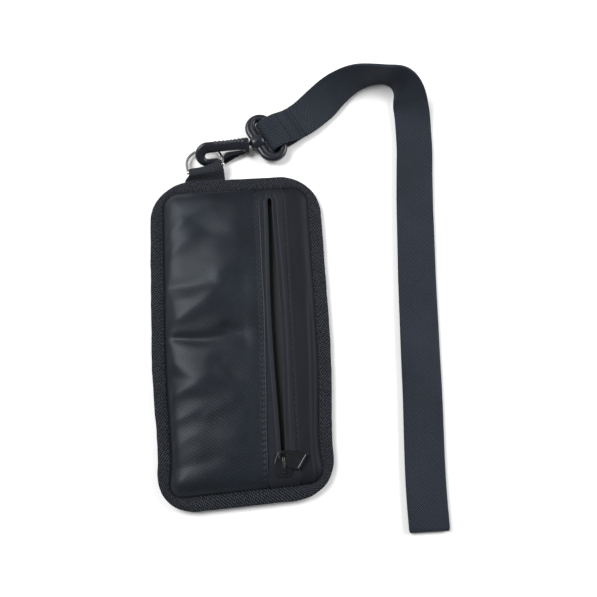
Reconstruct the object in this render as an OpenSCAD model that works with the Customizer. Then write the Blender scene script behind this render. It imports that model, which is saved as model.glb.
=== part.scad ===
// Flat zippered phone pouch with a webbing hand strap on a swivel snap hook.
// It lies on its back: X across, Y up the pouch, Z out of its front.
// The origin is the middle of the back face.

/* [Pouch] */
// Width over the edge binding
pouch_w = 98; // [84:1:120]
// Height over the edge binding
pouch_h = 183; // [156:1:222]
// Radius of the four corners
corner_r = 24; // [20:1:28]
// Thickness at the bound edge
edge_t = 4.4; // [4.4:0.1:5.4]
// Height of the closed zip above the back face
zip_z = 7.6; // [7.4:0.1:9.2]
// Height of the crown of the stuffed main panel
crown_z = 10; // [9.4:0.1:12]

/* [Layers] */
// Width of binding tape seen on each face
binding_w = 7.5; // [5:0.5:10]
// Thickness of the binding tape
binding_t = 0.7; // [0.5:0.1:0.9]
// Thickness of the back panel
back_t = 1.2; // [1:0.1:1.4]
// Thickness of the foam padding
padding_t = 0.9; // [0.6:0.1:1.1]
// Thickness of the pocket lining
lining_t = 0.35; // [0.3:0.05:0.5]
// Thickness of the front panels
panel_t = 0.8; // [0.5:0.1:0.9]
// Distance from the zip's centre line to the folded edge of the main panel
fold_gap = 5.6; // [5.6:0.1:6.8]
// Distance from the zip's centre line to the side panel
side_gap = 6.6; // [6:0.1:8]

/* [Zip] */
// Place of the zip's centre line, to the right of the middle
zip_x = 19.8; // [16:0.2:22]
// Half width of a zip tape with its hidden margin
tape_w = 10; // [9:0.5:12]
// Thickness of a zip tape
tape_t = 0.6; // [0.4:0.1:0.8]
// Width of the slit between the rows at its ends
slit_end = 2.4; // [2.4:0.1:3]
// Width of the slit between the rows at its widest
slit_mid = 5.2; // [4.8:0.1:5.6]
// Width of one row of teeth
row_w = 1.3; // [1:0.1:1.5]
// Height of one row of teeth
row_h = 1.2; // [1:0.1:1.4]
// Distance from the pouch's lower edge to the middle of the slider
slider_rise = 20; // [20:0.5:30]
// Distance of the closed slider below the pouch's top edge
zip_margin = 25; // [23:0.5:40]
// Width of the slider
slider_w = 10.4; // [10.2:0.1:10.6]
// Length of the slider
slider_l = 13.5; // [12:0.5:15]
// Length of the pull
pull_l = 12; // [10:0.5:16]
// Width of the pull
pull_w = 9; // [7:0.5:10]

/* [Tab and ring] */
// Place of the tab, to the left of the middle
tab_x = 17; // [14:0.5:20]
// Width of the tab's webbing
tab_w = 22; // [20:0.5:24]
// Thickness of the tab's webbing
tab_t = 1; // [0.8:0.1:1.2]
// Radius of the ring's wire
wire_r = 1; // [0.9:0.05:1.1]
// Width inside the ring
ring_w = 19; // [18:0.5:19.5]
// Depth inside the ring
ring_d = 12.8; // [12.8:0.1:13.4]

/* [Hook] */
// Distance from the swivel's centre to the centre of the nose
hook_l = 29.3; // [29.3:0.1:36]
// Distance between the hook's two limbs
mouth_w = 8.8; // [8.6:0.1:9.2]
// Radius of the hook's limbs
limb_r = 2; // [1.8:0.05:2.1]
// Radius of the swivel's ball
ball_r = 2.4; // [2.2:0.05:2.45]

/* [Swivel eye] */
// Length over the eye
eye_l = 32; // [31:0.5:36]
// Width over the eye
eye_w = 17; // [16:0.5:19]
// Radius of the eye's bar
eye_r = 2.2; // [1.9:0.1:2.3]

/* [Strap] */
// Width of the strap
strap_w = 21; // [17.5:0.5:22]
// Thickness of one layer of webbing
webbing_t = 1.3; // [1:0.1:1.4]

/* [Hidden] */
$fn = 48;
gap = 0.3;            // clearance between pieces that move past each other
slack = 0.1;          // clearance between layers that lie on each other
steps = 40;           // stretches along the zip's curved slit

half_w = pouch_w / 2;
half_h = pouch_h / 2;
seam_in = 1;                                  // the panels' edges inside the binding
flange_top = edge_t - binding_t - slack;      // top of the panels' edges in the binding
padding_z = back_t + slack / 2;
lining_z = padding_z + padding_t + slack / 2;
floor_z = lining_z + lining_t;                // floor of the pocket
shoulder_w = 3;                               // run of the front's slope beside the binding
crown_w = 10;                                 // run from there to the main panel's crown
seam_w = 5;                                   // edge seam that holds no padding

tape_top = zip_z - panel_t - slack;
tape_low = tape_top - tape_t;
row_low = tape_low - row_h;
slider_y = slider_rise - half_h;
slider_travel = pouch_h - slider_rise - zip_margin;
slit_low = slider_y + slider_l / 2 - 4;
slit_high = slider_y + slider_travel + slider_l / 2 + 3;
fold_x = zip_x - fold_gap;
side_x = zip_x + side_gap;

plate_t = 1.2;                                // plates of the slider
throat_w = slit_end - 0.6;                    // wedge that parts the two rows
bridge_w = 1.6;
bridge_rise = 2;                              // window under the bridge
bridge_y = [-4.4, 3.5];                       // the bridge's two legs
bridge_t = 1.5;
plate_low = tape_top + 0.2;
pull_t = 1.2;
pull_z = plate_low + plate_t + gap;
pull_eye_r = 1.5;
pull_rim = 1.4;
pull_turn = -17;                              // how the pull lies at rest

stitch_l = 2.2;
stitch_gap = 1;
thread_r = 0.25;

tab_low = back_t + slack;                     // the tab's flat ends in the binding
tab_flat = 1.4;
ring_play = 0.15;                             // clearance of the ring's bar in the fold
ring_yaw = 10;
ring_pitch = 5;
ring_down = 11.5;
ring_c = ring_w / 2 + wire_r;                 // from the ring's middle to a leg's centre
ring_depth = ring_d + wire_r;
ring_bend = 8.5;
bar_at = [0.7 - tab_x, half_h + 7.1, 5.2];    // middle of the ring's straight bar

hook_yaw = 7.4;
hook_pitch = 8.8;
hook_roll = 41;
hook_way = [-cos(hook_pitch) * cos(hook_yaw), -cos(hook_pitch) * sin(hook_yaw), sin(hook_pitch)];
nose_at = [-14.41, half_h + 18.27, 9.08];     // centre of the nose, which the ring hangs in
pivot_at = nose_at - hook_l * hook_way;       // centre of the swivel's ball
nose_r = mouth_w / 2;
tip_p = hook_l - 6.4;                         // end of the nose's lower limb
neck_r = 1.2;
socket_r = ball_r + 0.15;
boss_r = socket_r + 1.6;
barrel_end = boss_r + gap;
eye_yaw = 28;
cone_half = 60;                               // half angle of the socket's mouth
gate_root = [8.6, 4.7];
gate_t = 2.8;

far_bar = eye_w - 2 * eye_r;                  // from the pivot to the eye's far bar
fold_back = 3;                                // slack of the webbing's fold before the bar
seam_p = 27;                                  // end of the sewn fold, from the pivot
seam_drop = -1;                               // how far the seam lies below the pivot
fold_r = eye_r + gap + webbing_t;             // outside of the fold round the far bar
fold_p = far_bar + 1;
strap_z = webbing_t + 0.4;                    // middle of the doubled strap where it lies flat

seam_at = [pivot_at[0], pivot_at[1]] + (seam_p + gap) * [cos(eye_yaw), sin(eye_yaw)];

route_start = [38.4, 126.3];                  // where the seam stood as the route was chosen
carried = 18;                                 // points over which the route gives way to the seam

// The strap's route: X and Y of its middle, how far it leans over, and its lift
strap_route = [
    [seam_at[0], seam_at[1], 0, 1.9], [42.8, 128.9, 2, 1.6], [47.6, 132.5, 7, 1],
    [53, 136.6, 18, 0.4], [58.5, 140.6, 32, 0], [64, 144.1, 48, -0.3],
    [70, 147.2, 62, -0.6], [76, 149.4, 75, -0.9], [82, 150.5, 86, -1],
    [88, 150.9, 93, -1], [93.5, 150.5, 95, -1], [98, 149, 88, -1], [101.5, 146.4, 73, -0.8],
    [104.2, 142.8, 54, -0.4], [106.2, 138, 34, 0], [107.4, 132.5, 17, 0], [108, 126, 6, 0],
    [107.9, 118, 0, 0], [107.2, 105, 0, 0], [105.6, 90, 0, 0], [103.9, 73, 0, 0],
    [102.6, 57, 0, 0], [101.4, 42, 0, 0], [100.2, 27, 0, 0], [99.2, 12, 0, 0],
    [98.2, -4, 0, 0], [97.2, -20, 0, 0], [96.3, -36, 0, 0], [95.2, -52, 0, 0],
    [94, -68, 0, 0], [93, -84, 0, 0], [92.5, -98, 0, 0], [92.4, -110, 0, 0]];

// ---- shared shapes ----

// The pouch's outline, drawn in by a distance
module outline(inset) {
    r = corner_r - inset;
    hull() {
        for (x = [-1, 1], y = [-1, 1])
            translate([x * (half_w - corner_r), y * (half_h - corner_r)]) circle(r = r);
    }
}

// A flat layer of the pouch's outline
module layer(inset, z, t) {
    translate([0, 0, z]) linear_extrude(t) outline(inset);
}

// The body under the front at the zip's height, its surface lowered by a distance
module stuffed(drop) {
    inset = binding_w + slack + drop;
    hull() {
        layer(inset, 0, flange_top - drop);
        layer(inset + shoulder_w, 0, zip_z - drop);
    }
}

// The same under the main panel, which rises to a crown and falls again to its fold
module stuffed_main(drop) {
    inset = binding_w + slack + drop;
    hull() {
        intersection() {
            stuffed(drop);
            band(-half_w, fold_x + 1);
        }
        intersection() {
            layer(inset + shoulder_w + crown_w, 0, crown_z - drop);
            band(-half_w, fold_x - crown_w);
        }
    }
}

// A slab of the pouch between two places across it
module band(x0, x1) {
    translate([x0, -half_h - 1, -1]) cube([x1 - x0, pouch_h + 2, crown_z + 4]);
}

// The edge of a front panel inside the binding, down to the back
module panel_edge() {
    layer(seam_in, 0, flange_top);
}

// What lies below the front panels
module below_panels() {
    layer(0, -1, 1 + flange_top - panel_t);
}

// Half of the slit between the zip's rows at a place along it
function slit_half(y) =
    let (u = (2 * y - slit_low - slit_high) / (slit_high - slit_low))
    slit_end / 2 + (slit_mid - slit_end) / 2 * pow(cos(90 * max(-1, min(1, u))), 2);

// The slit's right-hand edge, moved out by a distance, between two places along the zip
function slit_edge(out, low, high) =
    [for (i = [0:steps]) let (y = low + (high - low) * i / steps) [zip_x + slit_half(y) + out, y]];

// The same edge, back down again
function reversed(list) = [for (i = [len(list) - 1:-1:0]) list[i]];

// What lies to the left of the zip is drawn on the right and mirrored over the zip's centre line
module left_of_zip() {
    translate([2 * zip_x, 0, 0]) mirror([1, 0, 0]) children();
}

// A row of short lengths of thread along Y
module stitches(x, low, high, z) {
    count = floor((high - low) / (stitch_l + stitch_gap));
    for (i = [0:count - 1])
        translate([x - thread_r, low + i * (stitch_l + stitch_gap), z])
            cube([2 * thread_r, stitch_l, 2 * thread_r]);
}

// ---- pouch ----

module back_panel() {
    color("#26282c") union() {
        layer(binding_w + slack, 0, back_t);
        layer(seam_in, binding_t + slack, back_t - binding_t - slack);
    }
}

module padding() {
    color("#55585c") layer(seam_w, padding_z, padding_t);
}

module pocket_lining() {
    color("#303236") layer(seam_w, lining_z, lining_t);
}

module main_panel() {
    color("#3e4146") intersection() {
        difference() {
            union() {
                stuffed_main(0);
                panel_edge();
            }
            stuffed_main(panel_t);
            below_panels();
        }
        band(-half_w, fold_x);
    }
}

module side_panel() {
    color("#26282e") intersection() {
        difference() {
            union() {
                stuffed(0);
                panel_edge();
            }
            stuffed(panel_t);
            below_panels();
        }
        band(side_x, half_w);
    }
}

// The right-hand tape: from the slit's edge to its hidden margin under the side panel
module zip_tape() {
    drop = panel_t + slack;
    low = floor_z + slack;
    color("#37363a") intersection() {
        difference() {
            union() {
                stuffed(drop);
                intersection() {
                    layer(seam_in, low, tape_t);
                    band(zip_x, zip_x + min(fold_gap, side_gap) - slack);
                }
            }
            stuffed(drop + tape_t);
            layer(0, -1, low + 1);
        }
        translate([0, 0, -1]) linear_extrude(crown_z + 2)
            polygon(concat([[zip_x + slack / 2, -half_h], [zip_x + slack / 2, slit_low]],
                slit_edge(0, slit_low, slit_high),
                [[zip_x + slack / 2, slit_high], [zip_x + slack / 2, half_h],
                    [zip_x + tape_w, half_h], [zip_x + tape_w, -half_h]]));
    }
}

// The right-hand row of teeth, sewn under the tape's edge
module zip_row() {
    low = slider_y - slider_l / 2 - gap;
    high = slit_high - 1;
    color("#1c1c1e") translate([0, 0, row_low]) linear_extrude(row_h - slack)
        polygon(concat(slit_edge(0.1, low, high), reversed(slit_edge(0.1 + row_w, low, high))));
}

module zip_tape_right() { zip_tape(); }
module zip_tape_left() { left_of_zip() zip_tape(); }
module zip_row_right() { zip_row(); }
module zip_row_left() { left_of_zip() zip_row(); }

// A stop at the head of each row, above the slider's travel
module zip_top_stops() {
    stop_l = 2.4;
    y = slit_high - 0.6;
    color("#1c1c1e") for (side = [-1, 1])
        translate([zip_x + side * (slit_half(y) + row_w / 2) - row_w / 2, y, row_low])
            cube([row_w, stop_l, row_h - slack]);
}

// The bar that joins the rows below the slider
module zip_bottom_stop() {
    stop_w = 2 * row_w + slit_end;
    stop_l = 0.8;
    y = slider_y - slider_l / 2 - gap - 0.05 - stop_l;
    color("#1c1c1e") translate([zip_x - stop_w / 2, y, row_low]) cube([stop_w, stop_l, row_h - 0.4]);
}

// A plate of the slider: broad at the open end and drawn in at the closed end
module slider_plate(z) {
    shoulder_r = 2.4;
    tail_r = 1.6;
    w = slider_w / 2;
    l = slider_l / 2;
    translate([0, 0, z]) linear_extrude(plate_t) hull() for (side = [-1, 1]) {
        translate([side * (w - shoulder_r), l - shoulder_r - 0.6]) circle(r = shoulder_r);
        translate([side * (w - shoulder_r), -1]) circle(r = shoulder_r);
        translate([side * (w - tail_r - 1.2), tail_r - l]) circle(r = tail_r);
        translate([side * 1.5, l - 1]) circle(r = 1);
    }
}

module slider_body() {
    wall_w = 0.8;
    inside = slit_mid / 2 + row_w + gap;
    low_z = row_low - gap - plate_t;
    color("#161618") translate([zip_x, slider_y, 0]) union() {
        slider_plate(plate_low);
        slider_plate(low_z);
        for (side = [-1, 1])
            translate([side * (inside + wall_w / 2) - wall_w / 2, -2.6, low_z])
                cube([wall_w, 5.2, tape_low - gap - low_z]);
        translate([-throat_w / 2, slider_l / 2 - 3.4, low_z])
            cube([throat_w, 3, plate_low + plate_t - low_z]);
        slider_bridge();
    }
}

// The arch on the slider that holds the pull
module slider_bridge() {
    top = plate_low + plate_t;
    span = bridge_y[1] - bridge_y[0] + bridge_w;
    difference() {
        translate([-bridge_w / 2, bridge_y[0] - bridge_w / 2, top - 0.2])
            cube([bridge_w, span, bridge_rise + bridge_t + 0.2]);
        translate([-bridge_w, bridge_y[0] + bridge_w / 2, top])
            cube([2 * bridge_w, span - 2 * bridge_w, bridge_rise]);
    }
}

module slider_pull() {
    end = pull_l - pull_w / 4;
    color("#161618") translate([zip_x, slider_y + bridge_y[1], pull_z]) rotate(pull_turn)
        linear_extrude(pull_t) difference() {
            union() {
                circle(r = pull_eye_r + pull_rim);
                polygon([[0, -pull_eye_r - pull_rim], [3.4, -pull_w / 2], [end, -pull_w / 2],
                    [pull_l, pull_w / 2], [3, pull_w / 2 - 0.4], [0, pull_eye_r + pull_rim]]);
            }
            circle(r = pull_eye_r);
        }
}

// The tape folded over the whole edge
module edge_binding() {
    color("#2a2c31") difference() {
        layer(0, 0, edge_t);
        layer(binding_t, binding_t, edge_t - 2 * binding_t);
        layer(binding_w, -1, edge_t + 2);
        tab_slab(-2, 4, slack / 2);
    }
}

// The lockstitch line along the binding's inner edge, on the front
module binding_stitching() {
    inset = binding_w - 1.4;
    color("#141416") difference() {
        layer(inset, edge_t, 2 * thread_r);
        layer(inset + 2 * thread_r, edge_t - 1, 2);
    }
}

// Topstitching on the main panel's folded edge
module main_stitching() {
    in_from_fold = 2.4;
    end = half_h - binding_w - shoulder_w - crown_w - 1;
    z = zip_z + (crown_z - zip_z) * (in_from_fold + thread_r + 1) / (crown_w + 1);
    color("#141416") stitches(fold_x - in_from_fold, -end, end, z + 0.02);
}

// Topstitching that holds the side panel to the zip's tape
module side_stitching() {
    end = half_h - binding_w - shoulder_w - 4;
    color("#141416") stitches(side_x + 1.2, -end, end, zip_z);
}

// ---- tab and ring ----

module at_ring() {
    translate(bar_at) rotate([-ring_down, -ring_pitch, ring_yaw]) children();
}

// Webbing folded round the ring's bar, its ends sewn together inside the binding
module loop_tab() {
    inner = wire_r + ring_play;
    outer = inner + tab_t;
    loop_w = ring_w - 3 * gap;
    tail = seam_w - gap;
    color("#2b2d33") difference() {
        union() {
            hull() {
                at_ring() rotate([0, 90, 0]) cylinder(r = outer, h = loop_w, center = true);
                tab_neck(loop_w);
            }
            hull() {
                tab_neck(loop_w);
                tab_slab(0.4, 0.6, 0);
            }
            tab_slab(-tail, tail + 0.6, 0);
        }
        at_ring() rotate([0, 90, 0]) cylinder(r = inner, h = tab_w + 10, center = true);
    }
}

// The tab's narrowest stretch, between its flat ends and its fold
module tab_neck(w) {
    translate([-tab_x - w / 2, half_h + 3, tab_low + 0.7]) cube([w, 0.2, tab_flat + 0.4]);
}

// A stretch of the tab's flat ends, beside the pouch's edge
module tab_slab(y, l, more) {
    translate([-tab_x - tab_w / 2 - more, half_h + y, tab_low - more])
        cube([tab_w + 2 * more, l, tab_flat + 2 * more]);
}

// A row of thread across the tab, through the binding
module tab_stitching() {
    count = 7;
    color("#141416") for (i = [0:count - 1])
        translate([-tab_x + (i - count / 2) * (stitch_l + 0.6), half_h - 3, edge_t])
            cube([stitch_l, 2 * thread_r, 2 * thread_r]);
}

module d_ring() {
    r = ring_bend;
    color("#9a8474") at_ring() union() {
        rotate([0, 90, 0]) cylinder(r = wire_r, h = 2 * ring_c, center = true);
        for (side = [-1, 1]) {
            translate([side * ring_c, 0, 0]) sphere(r = wire_r);
            translate([side * ring_c, 0, 0]) rotate([-90, 0, 0])
                cylinder(r = wire_r, h = ring_depth - r);
            translate([side * (ring_c - r), ring_depth - r, 0]) rotate([0, 0, side > 0 ? 0 : 90])
                rotate_extrude(angle = 90) translate([r, 0]) circle(r = wire_r);
        }
        translate([0, ring_depth, 0]) rotate([0, 90, 0])
            cylinder(r = wire_r, h = 2 * (ring_c - r) + 0.02, center = true);
    }
}

// ---- hook ----

// The hook's own frame: X from the swivel to the nose, Y towards the mouth
module at_hook() {
    translate(pivot_at) rotate([-hook_roll, -hook_pitch, 180 + hook_yaw]) children();
}

module hook_body() {
    barrel_r = 2.6;
    spine_low = 9;
    spine_back = 1.3;
    ridges = 7;
    color("#1d1f24") at_hook() union() {
        rotate([0, 0, 90]) sphere(r = ball_r);
        rotate([0, 90, 0]) cylinder(r = neck_r, h = barrel_end + 0.5);
        translate([barrel_end, 0, 0]) rotate([0, 90, 0])
            cylinder(r = barrel_r, h = spine_low - barrel_end);
        translate([barrel_end + 1, 0, 0]) rotate([0, 90, 0]) cylinder(r = barrel_r + 0.6, h = 1.6);
        translate([spine_low - 1, 0, 0]) rotate([0, 90, 0])
            cylinder(r = limb_r, h = hook_l - spine_low + 1);
        translate([spine_low - 0.6, -spine_back, 0]) rotate([0, 90, 0])
            cylinder(r = limb_r - 0.1, h = hook_l + 0.6 - spine_low + 0.6);
        for (i = [0:ridges - 1])
            translate([spine_low + 1.2 + 2.3 * i, -spine_back, 0]) rotate([0, 90, 0])
                cylinder(r = limb_r + 0.3, h = 1.1);
        translate([hook_l, nose_r, 0]) rotate([0, 0, -90])
            rotate_extrude(angle = 180) translate([nose_r, 0]) circle(r = limb_r);
        translate([hook_l + 0.6, nose_r - 0.75, 0]) rotate([0, 0, -90])
            rotate_extrude(angle = 180) translate([nose_r - 0.75 + spine_back, 0])
                circle(r = limb_r - 0.1);
        translate([tip_p, mouth_w, 0]) rotate([0, 90, 0])
            cylinder(r = limb_r, h = hook_l - tip_p);
    }
}

// The gate: a tongue from the barrel to the tip, with a thumb point
module hook_gate() {
    root = gate_root[0];
    end = tip_p - gap;
    color("#1d1f24") at_hook() translate([0, 0, -limb_r]) linear_extrude(gate_t)
        polygon([[root, 3.1], [root + 2, 3.2], [root + 6, 3.9], [root + 9.4, 5.2],
            [end - 2, mouth_w - 1.2], [end - 0.2, mouth_w - 0.4],
            [end - 0.7, mouth_w + 1.8], [end - 1.6, mouth_w + 2.4], [end - 3, mouth_w + 0.1], [end - 4.6, mouth_w - 1.9],
            [root + 5.4, 5.5], [root, 6.3], [root - 1.2, 5.6], [root - 1.2, 3.8]]);
}

// ---- swivel eye ----

// The eye's own frame: X from the swivel towards the strap, Y along its bars
module at_eye() {
    translate(pivot_at) rotate([0, 0, eye_yaw]) children();
}

module swivel_eye() {
    bend = eye_w / 2 - eye_r;
    straight = eye_l - eye_w;
    color("#1d1f24") at_eye() difference() {
        union() {
            sphere(r = boss_r);
            for (x = [0, far_bar])
                translate([x, 0, 0]) rotate([90, 0, 0])
                    cylinder(r = eye_r, h = straight + 0.02, center = true);
            for (side = [0, 180])
                translate([bend, (side == 0 ? 1 : -1) * straight / 2, 0]) rotate([0, 0, side])
                    rotate_extrude(angle = 180) translate([bend, 0]) circle(r = eye_r);
        }
        sphere(r = socket_r);
        rotate([0, -90, 0]) cylinder(r1 = 0, r2 = 2 * boss_r * tan(cone_half), h = 2 * boss_r);
    }
}

// ---- strap ----

// The fold of webbing round the eye's far bar, sewn flat beyond it
module strap_end() {
    color("#33383f") at_eye() translate([0, strap_w / 2, 0]) rotate([90, 0, 0])
        linear_extrude(strap_w) difference() {
            hull() {
                translate([far_bar - fold_back, 0]) circle(r = fold_r);
                translate([fold_p, 0]) circle(r = fold_r);
                translate([seam_p - 0.1, seam_drop - webbing_t]) square([0.1, 2 * webbing_t]);
            }
            hull() {
                translate([far_bar - fold_back, 0]) circle(r = fold_r - webbing_t);
                translate([fold_p, 0]) circle(r = fold_r - webbing_t);
                translate([seam_p - 11, seam_drop]) circle(r = 0.1);
            }
        }
}

// Height of the fold's upper face at a distance from the swivel, beyond the bar
function fold_top(p) =
    let (run = seam_p - fold_p, fall = seam_drop + webbing_t)
    fall + (seam_p - p) * tan(asin(fold_r / norm([run, fall])) - atan2(fall, run));

// Two rows of thread across the sewn fold
module strap_end_stitching() {
    stitch = 1.8;
    count = 7;
    color("#141416") at_eye() for (row = [0, 1])
        for (i = [0:count - 1])
            translate([seam_p - 1.6 - 7 * row, (i - (count - 1) / 2) * (stitch + 0.7) - stitch / 2,
                    fold_top(seam_p - 1.6 - 7 * row) + 0.02])
                cube([2 * thread_r, stitch, 2 * thread_r]);
}

// A point of the route: those near the hook go with the seam, less and less along the strap
function laid(i) = i == 0 ? seam_at :
    [strap_route[i][0], strap_route[i][1]] + max(0, 1 - i / carried) * (seam_at - route_start);

// Direction of the route at a point, and the strap's own width at that point
function heading(i) = i == 0 ? [cos(eye_yaw), sin(eye_yaw)] :
    let (d = laid(min(len(strap_route) - 1, i + 1)) - laid(i - 1)) d / norm(d);
function across(i) =
    let (d = heading(i), lean = strap_route[i][2])
    [-d[1] * cos(lean), d[0] * cos(lean), sin(lean)];
function middle(i) =
    concat(laid(i), [strap_z + strap_route[i][3] + strap_w / 2 * sin(strap_route[i][2])]);

// The four corners of the strap's section at a point of its route
function section(i) =
    let (m = middle(i), w = across(i) * strap_w / 2, d = heading(i),
        n = cross([d[0], d[1], 0], across(i)) * webbing_t)
    [m - w - n, m + w - n, m + w + n, m - w + n];

// The doubled strap, swept along its route
module strap() {
    count = len(strap_route);
    points = [for (i = [0:count - 1]) each section(i)];
    sides = [for (i = [0:count - 2], k = [0:3]) let (a = 4 * i + k, b = 4 * i + (k + 1) % 4)
        each [[a, a + 4, b + 4], [a, b + 4, b]]];
    last = 4 * (count - 1);
    color("#33383f") polyhedron(points,
        concat([[0, 1, 2, 3]], sides, [[last + 3, last + 2, last + 1, last]]), convexity = 6);
}

back_panel();
padding();
pocket_lining();
main_panel();
side_panel();
zip_tape_left();
zip_tape_right();
zip_row_left();
zip_row_right();
zip_top_stops();
zip_bottom_stop();
slider_body();
slider_pull();
edge_binding();
binding_stitching();
main_stitching();
side_stitching();
loop_tab();
tab_stitching();
d_ring();
hook_body();
hook_gate();
swivel_eye();
strap_end();
strap_end_stitching();
strap();
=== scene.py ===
import math
import bpy
import numpy as np
from mathutils import Matrix


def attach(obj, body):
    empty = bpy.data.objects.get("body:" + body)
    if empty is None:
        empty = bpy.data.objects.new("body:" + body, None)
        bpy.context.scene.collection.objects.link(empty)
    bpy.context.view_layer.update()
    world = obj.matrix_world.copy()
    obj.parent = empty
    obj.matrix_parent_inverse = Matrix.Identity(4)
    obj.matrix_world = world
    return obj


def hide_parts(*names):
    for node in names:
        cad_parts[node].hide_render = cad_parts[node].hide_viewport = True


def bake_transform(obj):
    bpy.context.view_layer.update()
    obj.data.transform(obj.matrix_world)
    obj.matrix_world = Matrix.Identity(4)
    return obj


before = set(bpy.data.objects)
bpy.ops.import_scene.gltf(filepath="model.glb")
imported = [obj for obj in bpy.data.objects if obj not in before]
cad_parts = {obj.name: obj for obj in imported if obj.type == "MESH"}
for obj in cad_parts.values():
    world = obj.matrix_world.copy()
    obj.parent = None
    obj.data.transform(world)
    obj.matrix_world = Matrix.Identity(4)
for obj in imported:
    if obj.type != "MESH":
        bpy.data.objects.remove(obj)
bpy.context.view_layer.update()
mm = 0.001

# sizes in millimetres, the same as in the part's source
pouch = {"width": 98.0, "height": 183.0, "corner": 24.0, "edge": 4.4, "zipZ": 7.6, "crownZ": 9.9,
         "binding": 7.5, "foldX": 14.2, "sideX": 26.4, "skew": 0.046, "taper": 3.0}
zipper = {"x": 19.8, "half": 10.0, "tapeZ": 6.7, "tapeThick": 0.6, "slitLow": -68.75,
          "slitHigh": 76.25, "slitEnd": 2.4, "slitMid": 5.2, "endZ": 3.0, "rowZ": 5.5, "rowLow": -78.5,
          "rowHigh": 75.0, "rowPitch": 1.25, "threadR": 0.24}
halfW, halfH = pouch["width"] / 2, pouch["height"] / 2


# The four corners of every quad of a grid, as (row, column), going round each quad
def quadCorners(rowCount, colCount):
    row, col = np.meshgrid(np.arange(rowCount), np.arange(colCount), indexing="ij")
    return [(row, col), (row, col + 1), (row + 1, col + 1), (row + 1, col)]


# A mesh from rows x columns of points; wrapU joins the last column to the first, wrapV the rows
def gridPiece(name, pts, uv, wrapU=False, wrapV=False, caps=False):
    rows, cols = pts.shape[:2]
    corners = quadCorners(rows if wrapV else rows - 1, cols if wrapU else cols - 1)
    faces = np.stack([(a % rows) * cols + b % cols for a, b in corners], -1).reshape(-1, 4)
    uvs = np.stack([uv[a, b] for a, b in corners], 2).reshape(-1, 2)
    polys = faces.tolist()
    if caps:
        polys += [list(range(cols))[::-1], list(range((rows - 1) * cols, rows * cols))]
        uvs = np.concatenate([uvs, uv[0, :cols][::-1], uv[rows - 1, :cols]])
    return meshPiece(name, pts.reshape(-1, 3) * mm, polys, uvs)


# A tube of points, closed round and capped at both ends, that needs no UV map of its own
def tubePiece(name, pts, wrapV=False):
    blank = np.zeros((pts.shape[0] + 1, pts.shape[1] + 1, 2))
    return gridPiece(name, pts, blank, wrapU=True, wrapV=wrapV, caps=not wrapV)


# Points and faces into an object, with its faces turned outwards: volume = sum of a . (b x c) / 6
def meshPiece(name, verts, polys, uvs=None):
    mesh = bpy.data.meshes.new(name)
    mesh.from_pydata(verts.tolist(), [], polys)
    mesh.update()
    tris = np.array([(p[0], p[i], p[i + 1]) for p in polys for i in range(1, len(p) - 1)])
    a, b, c = (verts[tris[:, i]] for i in range(3))
    insideOut = np.einsum("ij,ij->i", a, np.cross(b, c)).sum() < 0
    if uvs is not None:
        layer = mesh.uv_layers.new(name="weave")
        layer.data.foreach_set("uv", np.asarray(uvs, np.float32).ravel())
    if insideOut:
        mesh.flip_normals()
    mesh.polygons.foreach_set("use_smooth", [True] * len(mesh.polygons))
    obj = bpy.data.objects.new(name, mesh)
    bpy.context.collection.objects.link(obj)
    return obj


# Directions of length one: each divided by its own length
def unit(v):
    return v / np.maximum(np.linalg.norm(v, axis=-1, keepdims=True), 1e-9)


# Distances along a line from its first point: the running sum of its steps
def runAlong(line):
    return np.append(0, np.cumsum(np.linalg.norm(np.diff(line, axis=0), axis=1)))


# Distances round a closed section, from its first point back to it
def girth(across, up):
    loop = np.stack([across, up], 1)
    return runAlong(np.concatenate([loop, loop[:1]]))


# Unit normals of a grid: the cross product of its two directions
def gridNormals(pts):
    return unit(np.cross(np.gradient(pts, axis=1), np.gradient(pts, axis=0)))


# Points a short reach past a surface's edge, straight on from its inner neighbours
def pastEdge(edge, inner, reach):
    return edge + unit(edge - inner) * reach


# A cloth with thickness: middle surface +- normal * t / 2, closed all round with rounded edges
def clothPiece(name, surf, thick, uv, offset=0.0):
    normal = gridNormals(surf)
    reach = thick * 0.3
    mid = np.concatenate([pastEdge(surf[:, :1], surf[:, 1:2], reach), surf,
                          pastEdge(surf[:, -1:], surf[:, -2:-1], reach)], 1)
    normal = np.concatenate([normal[:, :1], normal, normal[:, -1:]], 1)
    part = np.ones(mid.shape[1])
    part[[0, -1]] = 0.35
    part[[1, -2]] = 0.8
    up = mid + normal * (thick / 2 * part + offset)[None, :, None]
    down = mid + normal * (-thick / 2 * part + offset)[None, :, None]
    loop = np.concatenate([up, down[:, ::-1]], 1)
    uvRow = np.concatenate([uv[:, :1], uv, uv[:, -1:]], 1)
    uvLoop = np.concatenate([uvRow, uvRow[:, ::-1], uvRow[:, :1]], 1)
    return capped(name, loop, uvLoop)


# The cloth's loop, with strips of quads across both ends from its upper side to its lower one
def capped(name, loop, uv):
    rows, cols = loop.shape[:2]
    corners = quadCorners(rows - 1, cols)
    faces = np.stack([a * cols + b % cols for a, b in corners], -1).reshape(-1, 4)
    uvs = np.stack([uv[a, b] for a, b in corners], 2).reshape(-1, 2)
    k = np.arange(cols // 2 - 1)
    first = np.stack([k + 1, k, cols - 1 - k, cols - 2 - k], -1)
    last = (rows - 1) * cols + np.stack([k, k + 1, cols - 2 - k, cols - 1 - k], -1)
    uvs = np.concatenate([uvs, uv.reshape(-1, 2)[:1].repeat(len(first) * 8, 0)])
    return meshPiece(name, loop.reshape(-1, 3) * mm, faces.tolist() + first.tolist() + last.tolist(), uvs)


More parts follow.
